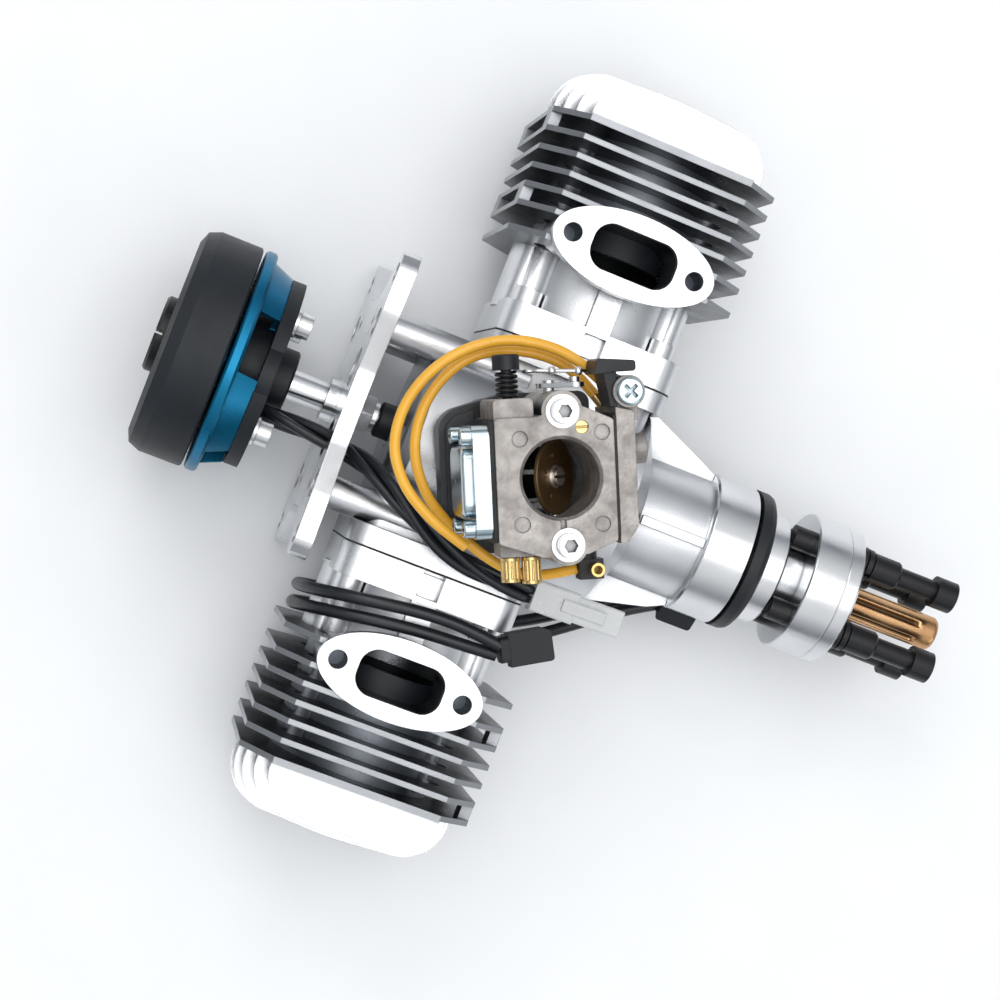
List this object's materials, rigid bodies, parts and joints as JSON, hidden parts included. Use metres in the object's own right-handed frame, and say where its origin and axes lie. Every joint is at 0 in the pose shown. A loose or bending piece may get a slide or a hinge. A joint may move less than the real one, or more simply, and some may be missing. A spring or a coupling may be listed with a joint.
{
  "type": "flat twin aircraft engine",
  "caption": "Flat twin petrol aircraft engine with finned cylinders, top carburettor, rear starter and propeller hub, resting port side up.",
  "frame": {"origin": "where the crankshaft axis meets the rear face of the mounting plate", "axes": "+X along the crankshaft to the propeller, +Z to the exhaust ports and carburettor, +Y to the forward cylinder"},
  "size_m": [0.2317, 0.2206, 0.1146],
  "materials": {
    "casting": "fine bead-blasted",
    "machined": "machined, fine tool marks",
    "diecast": "zinc-grey die casting",
    "steel": "bright zinc plated",
    "dark_steel": "black oxide",
    "chromed": "zinc chrome",
    "copper": "copper coloured",
    "brass": "turned brass",
    "dark_anodised": "dark grey anodised",
    "blue_anodised": "blue anodised",
    "black_plastic": "moulded",
    "grey_plastic": "moulded",
    "white_plastic": "moulded nylon",
    "ceramic": "glazed ceramic",
    "gasket": "pressed fibre",
    "yellow_hose": "amber polymer hose",
    "wire_jacket": "silicone jacket"
  },
  "bodies": {
    "engine": {"crankcase": "casting", "cylinder_left": "casting", "cylinder_right": "casting", "sensor_ring": "machined", "hall_sensor": "black_plastic", "bearings": "steel", "base_gaskets": "gasket", "base_screws_left": "steel", "base_screws_right": "steel", "spark_plugs": "steel", "plug_insulators": "ceramic", "mount_plate": "machined", "plate_screws": "steel", "centre_post": "machined", "post_nut": "steel", "shaft_seal": "black_plastic", "starter_plate": "dark_anodised", "stator_housing": "blue_anodised", "starter_screws": "steel", "stator_core": "dark_steel", "stator_windings": "copper", "intake_block": "grey_plastic", "reed_valve": "machined", "carb_gasket": "gasket", "carb_body": "diecast", "carb_screws": "steel", "metering_gasket": "gasket", "metering_cover": "chromed", "cover_screws": "chromed", "pump_gasket": "gasket", "pump_cover": "diecast", "lever_bracket": "black_plastic", "brass_fittings": "brass", "fuel_elbow": "black_plastic", "idle_spring": "dark_steel", "fuel_hose": "yellow_hose", "pulse_hose": "yellow_hose", "phase_wires": "wire_jacket", "sensor_lead_a": "wire_jacket", "sensor_lead_b": "wire_jacket", "wire_connector": "white_plastic", "sensor_plug": "black_plastic"},
    "crank": {"crankshaft": "steel", "prop_hub": "machined", "magnet_band": "black_plastic", "prop_washer": "machined", "prop_bolts": "dark_steel", "bolt_collars": "dark_steel", "centre_stud": "copper", "rotor_drum": "dark_anodised", "rotor_magnets": "dark_steel", "rotor_nut": "dark_steel"},
    "throttle": {"throttle_shaft": "brass", "throttle_plate": "brass", "throttle_lever": "steel"},
    "idle_screw_body": {"idle_screw": "black_plastic"},
    "needle_low_body": {"needle_low": "brass"},
    "needle_high_body": {"needle_high": "brass"},
    "piston_left_body": {"piston_left": "machined"},
    "piston_right_body": {"piston_right": "machined"}
  },
  "joints": [
    {"name": "crank_spin", "type": "hinge", "parent": "engine", "child": "crank", "pos_m": [0, 0, 0], "axis": [1, 0, 0], "continuous": true},
    {"name": "throttle_turn", "type": "hinge", "parent": "engine", "child": "throttle", "pos_m": [0.0508, 0.0003, 0.063], "axis": [-0.4067, 0.9135, 0], "range_deg": [-38, 34], "stiffness_Nm_per_rad": 0.02},
    {"name": "idle_turn", "type": "hinge", "parent": "engine", "child": "idle_screw_body", "pos_m": [0.0328, 0.01418, 0.066], "axis": [-0.4067, 0.9135, 0], "range_deg": [-180, 180]},
    {"name": "needle_low_turn", "type": "hinge", "parent": "engine", "child": "needle_low_body", "pos_m": [0.04873, -0.02186, 0.06], "axis": [-0.4067, 0.9135, 0], "range_deg": [-180, 180]},
    {"name": "needle_high_turn", "type": "hinge", "parent": "engine", "child": "needle_high_body", "pos_m": [0.05348, -0.01974, 0.06], "axis": [-0.4067, 0.9135, 0], "range_deg": [-180, 180]},
    {"name": "piston_left_slide", "type": "slide", "parent": "engine", "child": "piston_left_body", "axis": [0, -1, 0], "range_m": [0, 0.03]},
    {"name": "piston_right_slide", "type": "slide", "parent": "engine", "child": "piston_right_body", "axis": [0, 1, 0], "range_m": [0, 0.03]}
  ]
}
